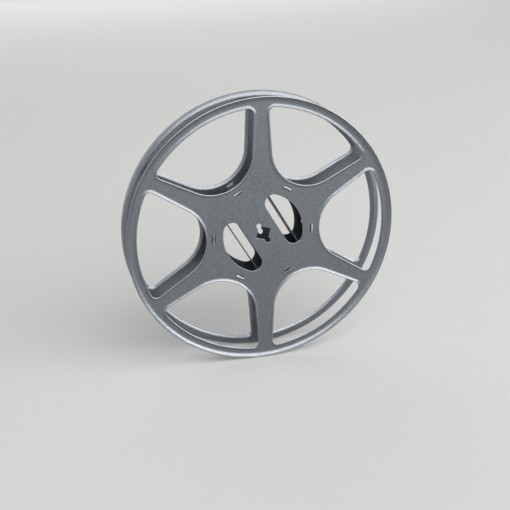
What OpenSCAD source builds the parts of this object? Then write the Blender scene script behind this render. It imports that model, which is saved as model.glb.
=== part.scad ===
// Cine film reel for 16 mm film: two pressed sheet-steel flanges clinched to a split core.
// The axle line is Y, the front flange faces -Y, +Z is up and the origin is the reel's middle.
// All sizes are in millimetres and all angles in degrees.

/* [Flanges] */
// Outside diameter of a flange
flange_d = 177.8; // [168:0.2:190]
// Thickness of the pressed sheet
sheet_t = 0.7; // [0.6:0.05:0.9]
// Clear width for the film, between the flanges' inner faces
film_gap = 16.8; // [12:0.1:24]
// Height of the turned-up rim over the flange's outer face
rim_h = 2.2; // [1.8:0.1:2.6]
// Inside radius of the bend under the rim
rim_bend_r = 3.2; // [2.7:0.1:3.6]
// Turn of the whole pressed pattern about the axle
pattern_turn = 1; // [0:0.5:30]

/* [Windows] */
// Width of the band from a window's outer edge to the flange's edge
rim_band = 7.1; // [6.7:0.1:9]
// Width of the hub's band from the core's outer wall to a window's inner end
hub_band = 4.6; // [4.2:0.1:7]
// Width of a spoke at its outer end, measured between the windows
spoke_w = 10.1; // [9:0.1:13]
// Lean of each side of a spoke, so that it widens towards the hub
spoke_taper = 3.3; // [2:0.1:5]
// Radius of a window's outer corners
window_corner_r = 3.6; // [2.5:0.1:5]
// Inside radius of the bend in a window's turned-up lip
lip_bend_r = 2.4; // [1.6:0.1:2.7]
// Turn of a window's lip from the flange's face
lip_turn = 55; // [45:1:60]

/* [Hub holes] */
// Radius of the curved side of the two D-shaped holes
hub_hole_r = 26.7; // [25:0.1:28]
// Distance of their straight sides from the axle line
hub_hole_flat = 10.2; // [9.5:0.1:12]
// Radius of their corners
hub_hole_corner_r = 5.8; // [4:0.1:6]
// Side of the square spindle hole
spindle_square = 8.1; // [7.5:0.1:8.4]
// Width of the round-ended keyway across the spindle hole
keyway_w = 3.2; // [2.8:0.1:3.6]
// Length of the keyway from tip to tip
keyway_len = 15.4; // [14:0.1:17]

/* [Core] */
// Outside diameter of the core that the film winds on
core_d = 66.8; // [64:0.2:68]
// Thickness of the core's strip
core_t = 0.9; // [0.7:0.05:1.1]
// Width of the slot in the core for the film's end
film_slot_w = 2.6; // [1.5:0.1:4]
// Width of a clinch tab along the core
tab_w = 4; // [3.4:0.1:6]
// Height of a tab's swaged head over the flange's outer face
tab_head_h = 0.5; // [0.3:0.05:0.8]
// Distance of the film leaves from the axle line
leaf_offset = 15.8; // [14.8:0.1:17]
// Thickness of a film leaf
leaf_t = 0.5; // [0.4:0.05:0.7]
// Length of a film leaf's foot along the core's wall
leaf_foot = 8; // [5:0.5:10]

/* [Hidden] */
$fa = 2;
$fs = 0.3;

// Windows, spokes and clinch tabs come in sixes, three tabs to each half of the core
window_count = 6;
window_step = 360 / window_count;

// Faces of the front flange, as heights along its outward normal
face_in = film_gap / 2;
face_out = face_in + sheet_t;
flange_r = flange_d / 2;
cut_over = 1;

// Rim: one wide bend, cut off flat at the rim's height
rim_flat_r = flange_r - sqrt(pow(rim_bend_r + sheet_t, 2) - pow(rim_bend_r - rim_h, 2));

// Lip of a window: a flat root, then a part bend that ends in a sheared edge
lip_mid_r = lip_bend_r + sheet_t / 2;
lip_w = (lip_bend_r + sheet_t) * sin(lip_turn);
lip_root = 0.5;

// The sweeps of a lip lap into each other and stand a hair proud of the sheet, every second one a hair more
lip_lap = 0.15;
lip_proud = 0.01;
lip_more_proud = 0.025;

// Window seen with its middle line along +X: straight sides, a round inner end, rounded outer corners
window_r = flange_r - rim_band;
hub_r = core_d / 2 + hub_band;
side_lean = window_step / 2 + spoke_taper;
side_along = [cos(side_lean), sin(side_lean)];
side_out = [-sin(side_lean), cos(side_lean)];
spoke_r = window_r - window_corner_r;
side_point = [spoke_r * cos(window_step / 2) + spoke_w / 2 * sin(window_step / 2),
              spoke_r * sin(window_step / 2) - spoke_w / 2 * cos(window_step / 2)];
side_offset = side_point * side_out;
inner_end_x = (hub_r + side_offset) / (1 - sin(side_lean));
inner_end_r = inner_end_x - hub_r;
corner_offset = side_offset - window_corner_r;
corner_at = side_along * sqrt(pow(spoke_r, 2) - pow(corner_offset, 2)) + side_out * corner_offset;
corner_angle = atan2(corner_at[1], corner_at[0]);

// D-shaped hole seen with its middle line along +X
hole_corner_x = hub_hole_flat + hub_hole_corner_r;
hole_corner_y = sqrt(pow(hub_hole_r - hub_hole_corner_r, 2) - pow(hole_corner_x, 2));
hole_corner_angle = atan2(hole_corner_y, hole_corner_x);

// Core: its outer wall, the middle of its wall where the tabs stand, and its inner wall
core_r = core_d / 2;
core_in_r = core_r - core_t;
tab_r = core_r - core_t / 2;
tab_slot_w = 2.2;
tab_slot_over = 1;
tab_head_over = 0.3;
tab_head_t = core_t + 0.5;

// The D-shaped holes, the leaves and the core's halves share one axis across the strip of the hub
hub_turn = pattern_turn + window_step / 2;
leaf_angle = acos(leaf_offset / core_in_r);
leaf_side_gap = 0.6;
leaf_end_gap = 0.6;
leaf_w = film_gap - 2 * leaf_side_gap;
foot_angle = leaf_foot / core_in_r * 180 / PI;
slot_angle = film_slot_w / tab_r * 180 / PI;
far = 2 * flange_r;

// Plane shapes

// A wedge from the centre, between two angles less than 180 degrees apart
module wedge(from, to) {
    middle = (from + to) / 2;
    polygon([[0, 0],
             far * [cos(from), sin(from)],
             far * [cos(middle), sin(middle)],
             far * [cos(to), sin(to)]]);
}

// A ring between two radii
module ring(outer, inner) {
    difference() {
        circle(outer);
        circle(inner);
    }
}

// Section of a flange's rim, with the radius along X and the height over the outer face along Y
module rim_section() {
    translate([0, -sheet_t])
        square([rim_flat_r, sheet_t]);
    translate([rim_flat_r, rim_bend_r])
        intersection() {
            ring(rim_bend_r + sheet_t, rim_bend_r);
            translate([0, rim_h - rim_bend_r - far])
                square([far, far]);
        }
}

// Section of a window's lip, from its root in the sheet at X = 0 towards the window along +X
module lip_section(proud) {
    translate([-lip_root - proud, -sheet_t - proud])
        square([lip_root + proud, sheet_t + 2 * proud]);
    translate([0, lip_bend_r])
        intersection() {
            ring(lip_bend_r + sheet_t + proud, lip_bend_r - proud);
            wedge(-90, lip_turn - 90 + proud / lip_mid_r * 180 / PI);
        }
}

// Points along an arc about a middle point
function arc_points(middle, radius, from, to, steps) =
    [for (i = [0:steps]) middle + radius * [cos(from + (to - from) * i / steps),
                                            sin(from + (to - from) * i / steps)]];

// Cut for a window, in short straight lines that lie inside the root of the window's lip
module window_cut() {
    grow = lip_w + lip_root / 2;
    half = concat(arc_points([0, 0], window_r + grow, 0, corner_angle, 6),
                  arc_points(corner_at, window_corner_r + grow, corner_angle + 20, 70 + side_lean, 3),
                  arc_points([inner_end_x, 0], inner_end_r + grow, 90 + side_lean, 180, 5));
    other_half = [for (i = [len(half) - 2:-1:1]) [half[i][0], -half[i][1]]];
    polygon(concat(half, other_half));
}

// Outline of one D-shaped hole
module hub_hole_outline() {
    arc_end = hub_hole_r * [cos(hole_corner_angle), sin(hole_corner_angle)];
    polygon([[hub_hole_flat, hole_corner_y],
             [hole_corner_x, hole_corner_y],
             arc_end,
             [arc_end[0], -arc_end[1]],
             [hole_corner_x, -hole_corner_y],
             [hub_hole_flat, -hole_corner_y]]);
    intersection() {
        circle(hub_hole_r);
        translate([arc_end[0], -far / 2])
            square([far, far]);
    }
    for (side = [-1, 1])
        translate([hole_corner_x, side * hole_corner_y])
            circle(hub_hole_corner_r);
}

// Outline of the square spindle hole and its keyway, with the keyway along Y
module spindle_outline() {
    rotate(45)
        square(spindle_square, center = true);
    square([keyway_w, keyway_len - keyway_w], center = true);
    for (end = [-1, 1])
        translate([0, end * (keyway_len - keyway_w) / 2])
            circle(keyway_w / 2);
}

// Solids of a flange, with the outward normal along +Z and the outer face at Z = 0

// Lip around part of a circle, the window lying inside the circle
module lip_arc(edge_r, from, to, proud) {
    rotate(from)
        rotate_extrude(angle = to - from)
            translate([edge_r + lip_w, 0])
                mirror([1, 0])
                    lip_section(proud);
}

// Lip along one straight side of a window and round the corner next to it
module lip_side() {
    side_start = [inner_end_x, 0] + (inner_end_r + lip_w) * side_out;
    side_end = corner_at + (window_corner_r + lip_w) * side_out;
    translate(side_end + lip_lap * side_along)
        rotate([90, 0, side_lean - 90])
            linear_extrude(norm(side_end - side_start) + 2 * lip_lap)
                lip_section(lip_proud);
    translate(corner_at)
        lip_arc(window_corner_r, corner_angle, 90 + side_lean, lip_more_proud);
}

// Lip all round one window
module window_lip() {
    outer_angle = corner_angle + lip_lap / window_r * 180 / PI;
    lip_arc(window_r, -outer_angle, outer_angle, lip_proud);
    translate([inner_end_x, 0])
        lip_arc(inner_end_r, 90 + side_lean, 270 - side_lean, lip_more_proud);
    lip_side();
    mirror([0, 1, 0])
        lip_side();
}

// One flange with its rim, windows, lips and holes
module flange() {
    difference() {
        union() {
            difference() {
                rotate_extrude()
                    rim_section();
                for (i = [0:window_count - 1])
                    rotate(pattern_turn + i * window_step)
                        translate([0, 0, -sheet_t - cut_over])
                            linear_extrude(sheet_t + 2 * cut_over)
                                window_cut();
            }
            for (i = [0:window_count - 1])
                rotate(pattern_turn + i * window_step)
                    window_lip();
        }
        translate([0, 0, -sheet_t - cut_over])
            linear_extrude(sheet_t + 2 * cut_over) {
                for (half_turn = [0, 180])
                    rotate(hub_turn + half_turn)
                        hub_hole_outline();
                rotate(hub_turn)
                    spindle_outline();
                for (i = [0:window_count - 1])
                    rotate(pattern_turn + i * window_step)
                        translate([tab_r, 0])
                            square([tab_slot_w, tab_w + tab_slot_over], center = true);
            }
    }
}

// Sub-parts

// Front flange, facing -Y
module front_flange() {
    color("silver")
        rotate([90, 0, 0])
            translate([0, 0, face_out])
                flange();
}

// Rear flange, the front one's mirror image
module rear_flange() {
    color("silver")
        mirror([0, 1, 0])
            rotate([90, 0, 0])
                translate([0, 0, face_out])
                    flange();
}

// Half of the core: a half ring of strip with three pairs of tabs, ending at the two film slots
module core_shell() {
    shell_from = leaf_angle - 180 + slot_angle / 2;
    shell_to = leaf_angle - slot_angle / 2;
    neck_h = face_out + tab_head_h / 2;
    tab_turns = [for (i = [-1.5, -0.5, 0.5]) i * window_step];
    difference() {
        linear_extrude(2 * neck_h, center = true)
            intersection() {
                ring(core_r, core_in_r);
                wedge(shell_from, shell_to);
            }
        // Between the tabs the wall ends at the flanges' inner faces
        for (base = [face_in, -neck_h - cut_over])
            translate([0, 0, base])
                linear_extrude(neck_h + cut_over - face_in)
                    difference() {
                        ring(core_r + cut_over, core_in_r - cut_over);
                        for (turn = tab_turns)
                            rotate(turn)
                                translate([tab_r, 0])
                                    square([4 * cut_over, tab_w], center = true);
                    }
    }
    // Swaged heads of the tabs, on the flanges' outer faces
    for (turn = tab_turns, side = [-1, 1])
        rotate(turn)
            translate([tab_r, 0, side * (face_out + tab_head_h / 2)])
                cube([tab_head_t, tab_w + tab_slot_over + 2 * tab_head_over, tab_head_h], center = true);
}

// Flat leaf across the core with a foot along the wall, to lead the film's end in from the slot
module film_leaf() {
    leaf_end = core_in_r * sin(leaf_angle);
    linear_extrude(leaf_w, center = true) {
        intersection() {
            translate([leaf_offset, -leaf_end - core_t])
                square([leaf_t, 2 * leaf_end + core_t - leaf_end_gap]);
            circle(core_in_r);
        }
        intersection() {
            ring(core_in_r, core_in_r - leaf_t);
            wedge(-leaf_angle, foot_angle - leaf_angle);
        }
    }
}

// Places a shape drawn across the core, turned by the given angle about the axle
module in_core(half_turn) {
    rotate([90, 0, 0])
        rotate(hub_turn + half_turn)
            children();
}

module core_shell_a() {
    color("dimgray")
        in_core(0)
            core_shell();
}

module core_shell_b() {
    color("dimgray")
        in_core(180)
            core_shell();
}

module film_leaf_a() {
    color("gray")
        in_core(0)
            film_leaf();
}

module film_leaf_b() {
    color("gray")
        in_core(180)
            film_leaf();
}

front_flange();
rear_flange();
core_shell_a();
core_shell_b();
film_leaf_a();
film_leaf_b();
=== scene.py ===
# %% [markdown]
# # A pressed-steel cine film reel
# The reel is two pressed sheet-steel flanges, a core in two halves that holds them apart, and two
# thin leaves inside the core. The imported model gives the frame: the axle line is Y, the front
# flange faces -Y and Z is up.

# %% Load the frame
import math
import bpy
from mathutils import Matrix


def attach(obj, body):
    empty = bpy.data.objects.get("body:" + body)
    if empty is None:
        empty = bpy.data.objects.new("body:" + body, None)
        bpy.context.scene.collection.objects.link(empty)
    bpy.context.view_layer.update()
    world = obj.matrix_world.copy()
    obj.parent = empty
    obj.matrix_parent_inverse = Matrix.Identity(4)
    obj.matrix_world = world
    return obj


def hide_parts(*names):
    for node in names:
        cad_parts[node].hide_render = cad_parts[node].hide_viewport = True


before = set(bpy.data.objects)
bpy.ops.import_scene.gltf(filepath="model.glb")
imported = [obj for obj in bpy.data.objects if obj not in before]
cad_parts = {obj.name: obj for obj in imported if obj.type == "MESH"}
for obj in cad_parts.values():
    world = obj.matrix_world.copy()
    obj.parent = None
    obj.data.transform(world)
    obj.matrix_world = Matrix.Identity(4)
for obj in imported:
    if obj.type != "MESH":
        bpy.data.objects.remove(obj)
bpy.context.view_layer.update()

MM = 0.001
scene = bpy.context.scene
scene.view_settings.view_transform = "Standard"
print("frame:", sorted(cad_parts))

# %% [markdown]
# The camera stands in front of the reel, to its left and above it, as the photographer did. Its
# place and turn come from the rim's ellipse in the photograph. The lens gives a square picture the
# photograph's angle of view.

# %% Camera
CAMERA_AT = (-0.14506, -0.49614, 0.18720)
CAMERA_TURN = (68.2975, 0.2079, -16.0433)
LENS, SENSOR = 59.294, 36

bpy.ops.object.camera_add(location=CAMERA_AT, rotation=[math.radians(a) for a in CAMERA_TURN])
camera = bpy.context.object
camera.name = "photographer"
camera.data.lens = LENS
camera.data.sensor_width = SENSOR
camera.data.clip_start = 10 * MM
scene.camera = camera
print("camera", round(camera.location.length / MM), "mm from the reel's middle")

# %% [markdown]
# ## How the sheet metal is drawn
# A pressed part is easiest to draw as one skin without thickness: the face that the press tool
# touches. A section is drawn as a chain of points, by extruding a point along straight lines and
# spinning it round the bends. The whole section is then selected and swept along the outline in
# the same two ways, so that every bend is a true arc and no corner has to be patched.

# %% Helpers for drawing a skin
AXLE = (0, 0)
WELD = 0.002 * MM
TOUCH = 0.01 * MM


def only(piece):
    """Select this piece alone and make it the active one."""
    bpy.ops.object.select_all(action="DESELECT")
    piece.select_set(True)
    bpy.context.view_layer.objects.active = piece


def start_point(name, x, y, z):
    """A new piece that is one selected point, in millimetres, left in edit mode."""
    bpy.ops.object.select_all(action="DESELECT")
    bpy.ops.mesh.primitive_plane_add(size=MM)
    piece = bpy.context.object
    piece.name = piece.data.name = name
    bpy.ops.object.mode_set(mode="EDIT")
    bpy.ops.mesh.select_mode(type="VERT")
    bpy.ops.mesh.select_all(action="SELECT")
    bpy.ops.mesh.merge(type="CENTER")
    bpy.ops.mesh.select_all(action="SELECT")
    bpy.ops.transform.translate(value=(x * MM, y * MM, z * MM))
    return piece


def reach(x, y, z):
    """Extrude what is selected along a straight line."""
    bpy.ops.mesh.extrude_region_move(TRANSFORM_OT_translate={"value": (x * MM, y * MM, z * MM)})


def swing(about, degrees, steps, copies=False):
    """Spin what is selected round a line along Y, anticlockwise as seen from the front."""
    bpy.ops.mesh.spin(steps=steps, angle=math.radians(degrees), dupli=copies,
                      center=(about[0] * MM, 0, about[1] * MM), axis=(0, 1, 0))


def fold(x, y, degrees, steps):
    """Spin a section's end point round a bend, whose line runs along Z."""
    bpy.ops.mesh.spin(steps=steps, angle=math.radians(degrees),
                      center=(x * MM, y * MM, 0), axis=(0, 0, 1))


def weld():
    """Join the points that lie on each other, and leave everything selected."""
    bpy.ops.mesh.select_all(action="SELECT")
    bpy.ops.mesh.remove_doubles(threshold=WELD)
    bpy.ops.mesh.select_all(action="SELECT")


def ring(count):
    """Weld an outline and repeat it evenly round the axle."""
    weld()
    swing(AXLE, 360 - 360 / count, count - 1, copies=True)


def close_up(turn=0):
    """Weld the sweep's end to its start, turn it about the axle and leave edit mode."""
    weld()
    if turn:
        bpy.ops.transform.rotate(value=math.radians(turn), orient_axis="Y",
                                 center_override=(0, 0, 0))
    bpy.ops.object.mode_set(mode="OBJECT")


# %% [markdown]
# ## The flange's skin
# A flange is one disc of 0.7 mm sheet. Its edge is turned up into a rim, and six windows are
# pressed out, each with its edge turned up into a lip that stiffens the spokes. The sizes below
# are the part's own, in millimetres and degrees. The arcs get enough steps to stay within 0.02 mm
# of true.

# %% Sizes of the flange
SHEET = 0.7
FACE_IN = 8.4
FACE_OUT = FACE_IN + SHEET
FLANGE_R = 88.9
RIM_H, RIM_BEND = 2.2, 3.2
RIM_FLAT_R = FLANGE_R - math.sqrt((RIM_BEND + SHEET) ** 2 - (RIM_BEND - RIM_H) ** 2)
RIM_TURN = math.degrees(math.acos(1 - RIM_H / RIM_BEND))
LIP_BEND, LIP_TURN = 2.4, 55
LIP_W = (LIP_BEND + SHEET) * math.sin(math.radians(LIP_TURN))
MARGIN = 0.3
SPOKES = 6
PATTERN_TURN = 1
HUB_TURN = PATTERN_TURN + 30
LIP_STEPS, CORNER_STEPS, WINDOW_STEPS = 10, 16, 48
RIM_BEND_STEPS, RIM_STEPS = 12, 288
print("rim turned by %.1f degrees, lips %.2f mm wide" % (RIM_TURN, LIP_W))

# %% [markdown]
# A window's outline is made of straight lines and arcs that run smoothly into each other, so that
# a lip's section can travel all the way round it. The window on the right is drawn. Its upper side
# leans a little more than the spoke's middle line, which makes the spokes taper. The inner arc
# touches the hub's circle and both sides, and the corner arcs touch a side and the outer circle.

# %% Outline of a window
HUB_R = 38.0
RIM_BAND = 7.1
WINDOW_R = FLANGE_R - RIM_BAND
CORNER_R = 3.6
SPOKE_W = 10.1
SPOKE_TURN = 180 / SPOKES
TAPER = 3.3
LEAN = SPOKE_TURN + TAPER
along = (math.cos(math.radians(LEAN)), math.sin(math.radians(LEAN)))
across = (-along[1], along[0])
spoke = (math.cos(math.radians(SPOKE_TURN)), math.sin(math.radians(SPOKE_TURN)))
corner_r = WINDOW_R - CORNER_R
side_point = (corner_r * spoke[0] + SPOKE_W / 2 * spoke[1],
              corner_r * spoke[1] - SPOKE_W / 2 * spoke[0])
side_offset = side_point[0] * across[0] + side_point[1] * across[1]
INNER_X = (HUB_R + side_offset) / (1 - along[1])
INNER_R = INNER_X - HUB_R
corner_offset = side_offset - CORNER_R
corner_along = math.sqrt(corner_r ** 2 - corner_offset ** 2)
CORNER = (along[0] * corner_along + across[0] * corner_offset,
          along[1] * corner_along + across[1] * corner_offset)
CORNER_ANGLE = math.degrees(math.atan2(CORNER[1], CORNER[0]))
SIDE_LENGTH = ((CORNER[0] + CORNER_R * across[0] - INNER_X - INNER_R * across[0]) * along[0]
               + (CORNER[1] + CORNER_R * across[1] - INNER_R * across[1]) * along[1])
print("window: inner end of radius %.1f mm, sides of %.1f mm, corners at %.1f degrees"
      % (INNER_R, SIDE_LENGTH, CORNER_ANGLE))

# %% [markdown]
# The lip starts on the hub side of the window: a short flat margin, then a bend of 55 degrees out
# of the sheet. From there it goes round the inner end, along one side, round a corner, along the
# outer edge and back the same way. Five more copies, 60 degrees apart, make the set.

# %% Window lips
lip_root = HUB_R - LIP_W
inner_turn = 90 - LEAN
corner_turn = 90 + LEAN - CORNER_ANGLE
lips = start_point("window_lips", lip_root - MARGIN, -FACE_OUT, 0)
reach(MARGIN, 0, 0)
fold(lip_root, -FACE_OUT - LIP_BEND, LIP_TURN, LIP_STEPS)
bpy.ops.mesh.select_all(action="SELECT")
swing((INNER_X, 0), -inner_turn, CORNER_STEPS)
reach(SIDE_LENGTH * along[0], 0, SIDE_LENGTH * along[1])
swing(CORNER, -corner_turn, CORNER_STEPS)
swing(AXLE, -2 * CORNER_ANGLE, WINDOW_STEPS)
swing((CORNER[0], -CORNER[1]), -corner_turn, CORNER_STEPS)
reach(-SIDE_LENGTH * along[0], 0, SIDE_LENGTH * along[1])
swing((INNER_X, 0), -inner_turn, CORNER_STEPS)
ring(SPOKES)
close_up(PATTERN_TURN)
print("lips:", len(lips.data.polygons), "faces")

# %% [markdown]
# The rim is the same idea on the largest circle: a flat margin, then one wide bend up to the rim's
# height.

# %% Rim
rim = start_point("rim", RIM_FLAT_R - MARGIN, -FACE_OUT, 0)
reach(MARGIN, 0, 0)
fold(RIM_FLAT_R, -FACE_OUT - RIM_BEND, RIM_TURN, RIM_BEND_STEPS)
bpy.ops.mesh.select_all(action="SELECT")
swing(AXLE, 360, RIM_STEPS)
close_up()
print("rim:", len(rim.data.polygons), "faces")

# %% [markdown]
# The hub has two D-shaped holes, a square spindle hole with a round-ended keyway across it, and
# six slots for the core's tabs. They are punched, so they have no lips, and one point draws each
# outline.

# %% D-shaped holes
HOLE_R, HOLE_FLAT, HOLE_CORNER = 26.7, 10.2, 5.8
HOLE_CORNER_STEPS, HOLE_STEPS = 20, 36
hole_x = HOLE_FLAT + HOLE_CORNER
hole_z = math.sqrt((HOLE_R - HOLE_CORNER) ** 2 - hole_x ** 2)
hole_angle = math.degrees(math.atan2(hole_z, hole_x))
holes = start_point("hub_holes", HOLE_FLAT, -FACE_OUT, 0)
reach(0, 0, hole_z)
swing((hole_x, hole_z), -(180 - hole_angle), HOLE_CORNER_STEPS)
swing(AXLE, -2 * hole_angle, HOLE_STEPS)
swing((hole_x, -hole_z), -(180 - hole_angle), HOLE_CORNER_STEPS)
reach(0, 0, hole_z)
ring(2)
close_up(HUB_TURN)
print("D-shaped holes:", len(holes.data.vertices), "points")

# %% Spindle hole
SQUARE = 8.1
HALF_DIAGONAL = SQUARE / math.sqrt(2)
KEY_LONG, KEY_R, KEY_STEPS = 15.4, 1.6, 14
KEY_END = KEY_LONG / 2 - KEY_R
notch = HALF_DIAGONAL - KEY_R
spindle = start_point("spindle_hole", HALF_DIAGONAL, -FACE_OUT, 0)
for up in (1, -1):
    reach(-up * notch, 0, up * notch)
    reach(0, 0, up * (KEY_END - notch))
    swing((0, up * KEY_END), 180, KEY_STEPS)
    reach(0, 0, -up * (KEY_END - notch))
    reach(-up * notch, 0, -up * notch)
close_up(HUB_TURN)
print("spindle hole:", len(spindle.data.vertices), "points")

# %% Clinch slots
CORE_R, CORE_T = 33.4, 0.9
TAB_R = CORE_R - CORE_T / 2
TAB_W, TAB_PLAY = 4, 0.5
SLOT_HALF_W, SLOT_HALF_L = 1.1, TAB_W / 2 + TAB_PLAY
slots = start_point("clinch_slots", TAB_R - SLOT_HALF_W, -FACE_OUT, -SLOT_HALF_L)
reach(2 * SLOT_HALF_W, 0, 0)
reach(0, 0, 2 * SLOT_HALF_L)
reach(-2 * SLOT_HALF_W, 0, 0)
reach(0, 0, -2 * SLOT_HALF_L)
ring(SPOKES)
close_up(PATTERN_TURN)
print("slots:", len(slots.data.vertices), "points")

# %% [markdown]
# The outlines are joined, and the flat sheet between them is filled in one go. Fill takes closed
# loops in one plane and treats a loop inside another as a hole. The loops are the edges in the
# flange's plane that have less than two faces.

# %% Helpers for filling
def open_edges(mesh):
    """Edges with less than two faces."""
    used = {}
    for face in mesh.polygons:
        for key in face.edge_keys:
            used[key] = used.get(key, 0) + 1
    return [edge for edge in mesh.edges if used.get(edge.key, 0) < 2]


def pick(piece, chosen):
    """Select these edges of a piece alone, and go into edit mode."""
    for part in (piece.data.polygons, piece.data.edges, piece.data.vertices):
        part.foreach_set("select", [False] * len(part))
    for edge in chosen:
        edge.select = True
        for corner in edge.vertices:
            piece.data.vertices[corner].select = True
    only(piece)
    bpy.ops.object.mode_set(mode="EDIT")
    bpy.ops.mesh.select_mode(type="EDGE")


def face_outward(piece, outward):
    """Make all faces agree, and flip them if the sum of this measure of a face is negative."""
    bpy.ops.object.mode_set(mode="EDIT")
    bpy.ops.mesh.select_all(action="SELECT")
    bpy.ops.mesh.normals_make_consistent(inside=False)
    bpy.ops.object.mode_set(mode="OBJECT")
    if sum(outward(face) for face in piece.data.polygons) < 0:
        bpy.ops.object.mode_set(mode="EDIT")
        bpy.ops.mesh.select_all(action="SELECT")
        bpy.ops.mesh.flip_normals()
        bpy.ops.object.mode_set(mode="OBJECT")


# %% Fill the sheet
only(lips)
for outline in (rim, holes, spindle, slots):
    outline.select_set(True)
bpy.ops.object.join()
sheet = lips
sheet.name = sheet.data.name = "front_pressing"
points = sheet.data.vertices
flat = [edge for edge in open_edges(sheet.data)
        if all(abs(points[c].co.y + FACE_OUT * MM) < TOUCH for c in edge.vertices)]
pick(sheet, flat)
bpy.ops.mesh.fill(use_beauty=True)
face_outward(sheet, lambda face: -face.normal.y * face.area)
print("sheet:", len(flat), "loop edges,", len(sheet.data.polygons), "faces")

# %% [markdown]
# ## Finishes
# Every colour is written as an sRGB hex value and turned to linear light by one function. Another
# small function adds a node, sets its inputs or links them, and returns it. Patterns are placed by
# the object's own coordinates, and their sizes are given in millimetres.

# %% Helpers for finishes
def linear(colour):
    """Linear red, green, blue and alpha of a colour such as "#80868c"."""
    levels = [int(colour[i:i + 2], 16) / 255 for i in (1, 3, 5)]
    return [c / 12.92 if c <= 0.04045 else ((c + 0.055) / 1.055) ** 2.4 for c in levels] + [1]


def per_mm(size):
    """Texture scale that repeats a pattern about every so many millimetres."""
    return 1 / (size * MM)


def add(tree, kind, inputs, **settings):
    """A node of this kind, with its settings, and its inputs set or linked."""
    made = tree.nodes.new(kind)
    for name, value in settings.items():
        setattr(made, name, value)
    for name, value in inputs.items():
        if isinstance(value, bpy.types.NodeSocket):
            tree.links.new(value, made.inputs[name])
        else:
            made.inputs[name].default_value = value
    return made


def noise(tree, place, size, detail, **more):
    """Soft random pattern of this size in millimetres. Returns its level, from 0 to 1."""
    inputs = {"Vector": place, "Scale": per_mm(size), "Detail": detail, **more}
    return add(tree, "ShaderNodeTexNoise", inputs).outputs["Fac"]


def weighted(tree, level, weight, base):
    """A level times its weight, on top of a base level."""
    inputs = {0: level, 1: weight, 2: base}
    return add(tree, "ShaderNodeMath", inputs, operation="MULTIPLY_ADD").outputs["Value"]


def spread(tree, level, low, high, first=0.0, last=1.0):
    """A level that is stretched so that low becomes the first value and high the last."""
    inputs = {"Value": level, "From Min": low, "From Max": high, "To Min": first, "To Max": last}
    return add(tree, "ShaderNodeMapRange", inputs).outputs["Result"]


def mixed(tree, level, first, second):
    """Two colours mixed by a level."""
    inputs = {"Factor": level, "A": first, "B": second}
    return add(tree, "ShaderNodeMix", inputs, data_type="RGBA").outputs["Result"]


def shaded(tree, level, *stops):
    """Colours picked by a level, from stops of a position and a colour in rising order."""
    node = add(tree, "ShaderNodeValToRGB", {"Fac": level})
    elements = node.color_ramp.elements
    while len(elements) < len(stops):
        elements.new(0.5)
    for element, (position, colour) in zip(elements, stops):
        element.position = position
        element.color = linear(colour)
    return node.outputs["Color"]


def roughen(tree, shader, level, strength, depth):
    """Relief from a level, with its depth in millimetres."""
    inputs = {"Strength": strength, "Distance": depth * MM, "Height": level}
    relief = add(tree, "ShaderNodeBump", inputs)
    tree.links.new(relief.outputs["Normal"], shader.inputs["Normal"])


def finish(name, inputs):
    """A new material with these shader inputs, its node tree, shader and place on the object."""
    material = bpy.data.materials.new(name)
    material.use_nodes = True
    tree = material.node_tree
    shader = tree.nodes["Principled BSDF"]
    for socket, value in inputs.items():
        shader.inputs[socket].default_value = value
    place = add(tree, "ShaderNodeTexCoord", {}).outputs["Object"]
    return material, tree, shader, place


# %% [markdown]
# The flanges are stove-enamelled in silver-grey hammer finish. The paint holds aluminium flake and
# draws itself into shallow dimples about 1 mm across while it dries. The eye sees a satin metal
# with a fine mottle: the dimples are a little darker, the ridges between them catch the light.

# %% Hammer-finish enamel
HAMMER = {"Metallic": 0.82, "Roughness": 0.34, "Coat Weight": 0.25, "Coat Roughness": 0.22}
DIMPLE, SWIRL, GRAIN, CLOUD = 1.05, 3.5, 0.35, 26
DRIFT = (1.1 * MM, 1.1 * MM, 1.1 * MM)
GLOSS_SPREAD = 0.02


def hammer_coat(tree, shader, place, dark, middle, light):
    """Mottled flake colour and dimples of a hammer finish. Returns the colour's socket."""
    swirl = add(tree, "ShaderNodeTexNoise",
                {"Vector": place, "Scale": per_mm(SWIRL), "Detail": 2.0}).outputs["Color"]
    drifted = add(tree, "ShaderNodeVectorMath", {0: swirl, 1: DRIFT, 2: place},
                  operation="MULTIPLY_ADD").outputs["Vector"]
    dimples = add(tree, "ShaderNodeTexVoronoi",
                  {"Vector": drifted, "Scale": per_mm(DIMPLE), "Smoothness": 0.6},
                  feature="SMOOTH_F1").outputs["Distance"]
    grain = noise(tree, place, size=GRAIN, detail=3.0)
    cloud = noise(tree, place, size=CLOUD, detail=3.0)
    mottle = weighted(tree, grain, weight=0.5, base=dimples)
    clouded = weighted(tree, cloud, weight=0.35, base=mottle)
    dull = shader.inputs["Roughness"].default_value
    gloss = spread(tree, grain, low=0.3, high=0.7,
                   first=dull - GLOSS_SPREAD, last=dull + GLOSS_SPREAD)
    tree.links.new(gloss, shader.inputs["Roughness"])
    roughen(tree, shader, mottle, strength=0.45, depth=0.06)
    return shaded(tree, clouded, (0.45, dark), (0.7, middle), (0.9615, light))


enamel, tree, shader, place = finish("silver_hammer_enamel", HAMMER)
flake = hammer_coat(tree, shader, place, "#5f6368", "#686c71", "#73787d")
tree.links.new(flake, shader.inputs["Base Color"])
print("finish:", enamel.name)

# %% [markdown]
# Hands and film touch the rim, the lips and the sheared edges. There the enamel is rubbed thin, and
# paler steel shimmers through it in soft patches about 3 mm apart. The eye sees a whiter band along
# each outline.

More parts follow.
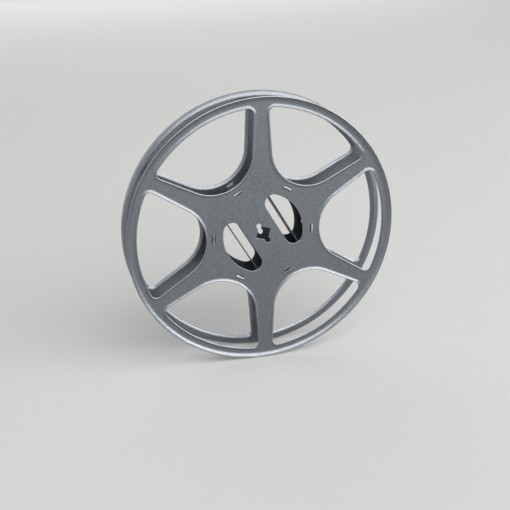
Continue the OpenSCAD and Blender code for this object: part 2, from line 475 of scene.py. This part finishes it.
# %% Enamel rubbed thin
worn, tree, shader, place = finish("enamel_rubbed_to_steel", HAMMER)
flake = hammer_coat(tree, shader, place, "#666a6f", "#72767b", "#82868b")
patches = noise(tree, place, size=3, detail=4.0, Roughness=0.65)
bare = spread(tree, patches, low=0.28, high=0.82)
tree.links.new(mixed(tree, bare, flake, linear("#989b9f")), shader.inputs["Base Color"])
print("finish:", worn.name)

# %% [markdown]
# The core takes the same enamel pattern, but its colour is painted shade: it is made very dark to
# stand for the inside of the reel, where little light falls. The eye sees a deep grey that hardly
# shines. The walls of the clinch slots get it too, as painted shade in their gaps.

# %% Core enamel darkened as painted shade
painted_shade_enamel, tree, shader, place = finish("enamel_painted_shade", {"Metallic": 0.3, "Roughness": 0.5})
# These near-black colours are painted shade for the inside of the reel, not the enamel's own tone.
flake = hammer_coat(tree, shader, place, "#17181a", "#1f2123", "#2a2c2f")
tree.links.new(flake, shader.inputs["Base Color"])
print("finish:", painted_shade_enamel.name)

# %% [markdown]
# The tabs' heads were peened over after painting. The eye sees small bright bars of steel, with
# scuffs of half a millimetre, next to others that kept more of their paint and stay grey.

# %% Peened steel
peened, tree, shader, place = finish("peened_steel", {"Metallic": 0.9, "Roughness": 0.33})
scuff = noise(tree, place, size=0.5, detail=4.0, Roughness=0.7)
steel = shaded(tree, scuff, (0.32, "#989ca0"), (0.62, "#dcdee0"))
painted = spread(tree, noise(tree, place, size=16, detail=1.0), low=0.38, high=0.52)
tree.links.new(mixed(tree, painted, steel, linear("#80848a")), shader.inputs["Base Color"])
roughen(tree, shader, scuff, strength=0.8, depth=0.08)
print("finish:", peened.name)

# %% [markdown]
# The leaves are thin cold-rolled spring steel, dark from oil. Rolling leaves fine lines along the
# strip, here 0.4 mm apart so that they can be seen, and handling leaves cloudy stains. The eye sees
# a dull, dark metal.

# %% Oiled spring steel
LINE_STRETCH = 20

spring, tree, shader, place = finish("oiled_spring_steel", {"Metallic": 0.6, "Roughness": 0.5})
rolled = add(tree, "ShaderNodeMapping", {"Vector": place,
                                         "Rotation": (0, -math.radians(HUB_TURN), 0),
                                         "Scale": (1, 1, LINE_STRETCH)}, vector_type="TEXTURE")
lines = noise(tree, rolled.outputs["Vector"], size=0.4, detail=2.0)
stains = noise(tree, place, size=9, detail=4.0)
oil = weighted(tree, lines, weight=0.3, base=stains)
oiled = shaded(tree, oil, (0.4, "#2e2f30"), (0.9, "#5c5e60"))
tree.links.new(oiled, shader.inputs["Base Color"])
roughen(tree, shader, lines, strength=0.3, depth=0.02)
print("finish:", spring.name)

# %% [markdown]
# ## From skin to sheet
# Solidify gives the skin its thickness on the side away from its normals. Bevel rounds every
# sheared edge and puts the second finish on the new faces. Weighted normals keep the flats flat
# next to the bends.

# %% Helpers for making a piece
SHARP = math.radians(40)
EDGE_STEPS, EDGE_FINISH = 3, 1


def thicken(piece, thickness, rounding, finishes):
    """Turn a skin into sheet metal with rounded edges. The second finish goes on the edges."""
    for material in finishes:
        piece.data.materials.append(material)
    only(piece)
    wall = piece.modifiers.new("wall", "SOLIDIFY")
    wall.thickness = thickness * MM
    wall.offset = -1
    wall.use_even_offset = True
    edge = piece.modifiers.new("edge", "BEVEL")
    edge.width = rounding * MM
    edge.segments = EDGE_STEPS
    edge.limit_method = "ANGLE"
    edge.angle_limit = SHARP
    edge.use_clamp_overlap = False
    edge.material = EDGE_FINISH
    for modifier in ("wall", "edge"):
        bpy.ops.object.modifier_apply(modifier=modifier)
    bpy.ops.object.shade_smooth_by_angle(angle=SHARP)
    flats = piece.modifiers.new("flats", "WEIGHTED_NORMAL")
    flats.keep_sharp = True
    bpy.ops.object.modifier_apply(modifier="flats")


def copy_of(piece, name):
    """A copy of a piece, with its own mesh and this name."""
    only(piece)
    bpy.ops.object.duplicate()
    twin = bpy.context.object
    twin.name = twin.data.name = name
    return twin


def turn_piece(piece, degrees):
    """Turn a piece about the axle, anticlockwise as seen from the front."""
    only(piece)
    piece.rotation_euler = (0, -math.radians(degrees), 0)
    bpy.ops.object.transform_apply(location=False, rotation=True, scale=False)


def settle(piece, node):
    """The piece stands for a CAD node and rides with the reel."""
    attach(piece, "root")
    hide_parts(node)
    print(piece.name, "for", node + ":", len(piece.data.polygons), "faces")


# %% [markdown]
# The rear flange is the front one's mirror image, so the skin is copied, mirrored and turned right
# side out before either gets its thickness. Then the slopes steeper than 40 degrees get the rubbed
# finish, and the walls and edges of the clinch slots get the dark core enamel as painted shade.

# %% Both flanges
SHEET_ROUND = 0.2
SLOT_REACH = 2
STEEP, UPRIGHT = math.radians(40), math.radians(60)
RUBBED, PAINTED_SHADE = EDGE_FINISH, 2

rear = copy_of(sheet, "rear_pressing")
bpy.ops.object.mode_set(mode="EDIT")
bpy.ops.mesh.select_all(action="SELECT")
bpy.ops.transform.resize(value=(1, -1, 1), center_override=(0, 0, 0))
bpy.ops.mesh.flip_normals()
bpy.ops.object.mode_set(mode="OBJECT")
for pressing, node in ((sheet, "front_flange"), (rear, "rear_flange")):
    thicken(pressing, SHEET, SHEET_ROUND, (enamel, worn))
    # The third finish is the dark enamel, used as painted shade in the clinch slots.
    pressing.data.materials.append(painted_shade_enamel)
    for face in pressing.data.polygons:
        slope = math.acos(min(1, abs(face.normal.y)))
        off_tabs = abs(math.hypot(face.center.x, face.center.z) - TAB_R * MM)
        # Slot walls and edges near the tabs get painted shade: the dark core enamel.
        if off_tabs < SLOT_REACH * MM and (face.material_index == RUBBED or slope > UPRIGHT):
            face.material_index = PAINTED_SHADE
        elif slope > STEEP:
            face.material_index = RUBBED
    settle(pressing, node)

# %% [markdown]
# ## The core
# Each half of the core is a strip bent to a half ring. Three tabs on each edge pass through the
# flange's slots, and their ends are peened into heads. The strip is spun in stretches that end
# where a tab begins, so that the tabs can be extruded from its edges.

# %% Half of the core
CORE_IN = CORE_R - CORE_T
FILM_SLOT = 2.6
LEAF_AT = 15.8
HEAD_H = 0.5
TAB_TURNS = (-90, -30, 30)
STRIP_STEP, TAB_STEPS, END_STEPS = 3, 4, 8
leaf_angle = math.degrees(math.acos(LEAF_AT / CORE_IN))
film_slot = math.degrees(FILM_SLOT / TAB_R)
tab_half = math.degrees(math.asin(TAB_W / 2 / TAB_R))
at = leaf_angle - 180 + film_slot / 2
half = start_point("core_strip_a", CORE_R * math.cos(math.radians(at)), -FACE_IN,
                   CORE_R * math.sin(math.radians(at)))
reach(0, 2 * FACE_IN, 0)
bpy.ops.mesh.select_all(action="SELECT")
for turn in TAB_TURNS:
    stretch = turn - tab_half - at
    swing(AXLE, stretch, max(2, round(stretch / STRIP_STEP)))
    swing(AXLE, 2 * tab_half, TAB_STEPS)
    at = turn + tab_half
swing(AXLE, leaf_angle - film_slot / 2 - at, END_STEPS)
bpy.ops.object.mode_set(mode="OBJECT")
print("core strip:", len(half.data.polygons), "faces")

# %% Tabs
STRIP_ROUND = 0.1

for side in (-1, 1):
    chosen = []
    for edge in open_edges(half.data):
        ends = [half.data.vertices[c].co for c in edge.vertices]
        middle = (ends[0] + ends[1]) / 2
        turn = math.degrees(math.atan2(middle.z, middle.x))
        on_edge = all(abs(end.y - side * FACE_IN * MM) < TOUCH for end in ends)
        if on_edge and any(abs(turn - t) < tab_half for t in TAB_TURNS):
            chosen.append(edge)
    pick(half, chosen)
    reach(0, side * (SHEET + HEAD_H / 2), 0)
    bpy.ops.object.mode_set(mode="OBJECT")
    print("tabs on one edge:", len(chosen), "edges")
face_outward(half, lambda face: face.normal.x * face.center.x + face.normal.z * face.center.z)
# The strip takes the enamel darkened as painted shade, with the rubbed finish on its edges.
thicken(half, CORE_T, STRIP_ROUND, (painted_shade_enamel, worn))

# %% [markdown]
# A head starts as a block of the tab's spread size. All its edges are rounded by the peening.

# %% Peened heads
HEAD_T, HEAD_W = CORE_T + 0.3, TAB_W + 1.6
HEAD_ROUND, HEAD_STEPS = 0.22, 4
head_y = FACE_OUT + HEAD_H / 2

bpy.ops.object.select_all(action="DESELECT")
bpy.ops.mesh.primitive_cube_add(size=1)
heads = bpy.context.object
heads.name = "tab_heads"
heads.data.materials.append(peened)
bpy.ops.object.mode_set(mode="EDIT")
bpy.ops.mesh.select_all(action="SELECT")
bpy.ops.transform.resize(value=(HEAD_T * MM, HEAD_H * MM, HEAD_W * MM))
bpy.ops.mesh.bevel(offset=HEAD_ROUND * MM, offset_type="OFFSET", segments=HEAD_STEPS,
                   affect="EDGES")
bpy.ops.mesh.select_all(action="SELECT")
bpy.ops.transform.translate(value=(TAB_R * MM, -head_y * MM, 0))
bpy.ops.transform.rotate(value=math.radians(TAB_TURNS[0]), orient_axis="Y",
                         center_override=(0, 0, 0))
swing(AXLE, TAB_TURNS[-1] - TAB_TURNS[0], len(TAB_TURNS) - 1, copies=True)
bpy.ops.mesh.select_all(action="SELECT")
bpy.ops.mesh.duplicate()
bpy.ops.transform.translate(value=(0, 2 * head_y * MM, 0))
bpy.ops.object.mode_set(mode="OBJECT")
bpy.ops.object.shade_smooth_by_angle(angle=SHARP)
print("heads:", len(heads.data.polygons), "faces")

# %% [markdown]
# The heads are joined to the strip, and the half is turned into place. The other half is a copy of
# it, turned by half a turn about the axle.

# %% Both halves of the core
only(half)
heads.select_set(True)
bpy.ops.object.join()
turn_piece(half, HUB_TURN)
other_half = copy_of(half, "core_strip_b")
turn_piece(other_half, 180)
settle(half, "core_shell_a")
settle(other_half, "core_shell_b")

# %% [markdown]
# ## The film leaves
# A leaf runs straight across the inside of the core. One end has a foot that lies along the core's
# wall, the other ends just short of a film slot. The outline is drawn from the foot to the free
# end, its corner is rounded, and then it is extruded to the strip's width.

# %% Outline of a leaf
LEAF_T, LEAF_HALF = 0.5, 7.8
LEAF_FOOT, LEAF_SHORT = 8, 0.6
LEAF_BEND, LEAF_ROUND = 0.7, 0.08
FOOT_STEPS, BEND_STEPS = 8, 5
foot = math.degrees(LEAF_FOOT / CORE_IN)
leaf_end = CORE_IN * math.sin(math.radians(leaf_angle))
leaf_long = 2 * leaf_end - LEAF_SHORT
toe = math.radians(foot - leaf_angle)
leaf = start_point("film_leaf_strip_a", CORE_IN * math.cos(toe), -LEAF_HALF,
                   CORE_IN * math.sin(toe))
swing(AXLE, -foot, FOOT_STEPS)
reach(0, 0, leaf_long)
bpy.ops.object.mode_set(mode="OBJECT")
for corner in leaf.data.vertices:
    corner.select = abs(corner.co.z + leaf_end * MM) < TOUCH
bpy.ops.object.mode_set(mode="EDIT")
bpy.ops.mesh.select_mode(type="VERT")
bpy.ops.mesh.bevel(offset=LEAF_BEND * MM, offset_type="OFFSET", segments=BEND_STEPS,
                   affect="VERTICES")
print("leaf: foot of", LEAF_FOOT, "mm, straight part of", round(leaf_long, 1), "mm")

# %% Both leaves
bpy.ops.mesh.select_all(action="SELECT")
reach(0, 2 * LEAF_HALF, 0)
face_outward(leaf, lambda face: -face.normal.x * face.area)
thicken(leaf, LEAF_T, LEAF_ROUND, (spring, spring))
turn_piece(leaf, HUB_TURN)
other_leaf = copy_of(leaf, "film_leaf_strip_b")
turn_piece(other_leaf, 180)
settle(leaf, "film_leaf_a")
settle(other_leaf, "film_leaf_b")

# %% [markdown]
# ## Studio
# The reel stands on its rims on a plain pale floor. A large soft box, high in front and to the
# right, gives the slopes that face up their white bands. A low one on the right reaches the slopes
# that face right, and a low one behind lights the floor there and the reel's back. An even sky
# fills the shadows. What the camera and the reflections see past the floor's edge is white.
# Lengths are in metres here.

# %% Floor
FLOOR_R, FLOOR_SIDES = 2.6, 128
FLOOR_AT = (0.3, 0.9, -FLANGE_R * MM)

bpy.ops.object.select_all(action="DESELECT")
bpy.ops.mesh.primitive_circle_add(vertices=FLOOR_SIDES, radius=FLOOR_R, fill_type="NGON",
                                  location=FLOOR_AT)
floor = bpy.context.object
floor.name = "floor"
paper, tree, shader, place = finish("pale_paper", {"Roughness": 0.95, "Specular IOR Level": 0.1})
fibre = noise(tree, place, size=2, detail=3.0)
pale = mixed(tree, fibre, linear("#bdbdbb"), linear("#c5c5c3"))
tree.links.new(pale, shader.inputs["Base Color"])
floor.data.materials.append(paper)
print("floor:", paper.name, "of", FLOOR_R, "m radius")

# %% Sky
world = bpy.data.worlds.new("studio")
scene.world = world
world.use_nodes = True
tree = world.node_tree
sky = tree.nodes["Background"]
sky.inputs["Color"].default_value = linear("#f2f4f6")
sky.inputs["Strength"].default_value = 0.32
white = add(tree, "ShaderNodeBackground", {"Color": linear("#ffffff"), "Strength": 1.0})
ray = add(tree, "ShaderNodeLightPath", {})
seen = ray.outputs["Is Camera Ray"]
for kind in ("Is Glossy Ray", "Is Transmission Ray"):
    either = add(tree, "ShaderNodeMath", {0: seen, 1: ray.outputs[kind]}, operation="MAXIMUM")
    seen = either.outputs["Value"]
behind = add(tree, "ShaderNodeMixShader", {0: seen, 1: sky.outputs["Background"],
                                           2: white.outputs["Background"]})
tree.links.new(behind.outputs["Shader"], tree.nodes["World Output"].inputs["Surface"])
print("sky:", world.name)

# %% Lamps
LAMPS = (("front_soft_box", (1.05, -2.25, 2.10), (5.6, 3.3), 196),
         ("side_soft_box", (2.46, -1.15, 0.67), (2.1, 1.5), 29),
         ("rear_soft_box", (-0.30, 2.85, 0.98), (4.5, 1.8), 50))

for name, spot, size, power in LAMPS:
    bpy.ops.object.light_add(type="AREA", location=spot)
    lamp = bpy.context.object
    lamp.name = name
    lamp.data.shape = "RECTANGLE"
    lamp.data.size, lamp.data.size_y = size
    lamp.data.energy = power
    lamp.rotation_euler = (-lamp.location).to_track_quat("-Z", "Y").to_euler()
    lamp.visible_camera = False
    print(name, "of", power, "W,", round(lamp.location.length, 2), "m from the reel")
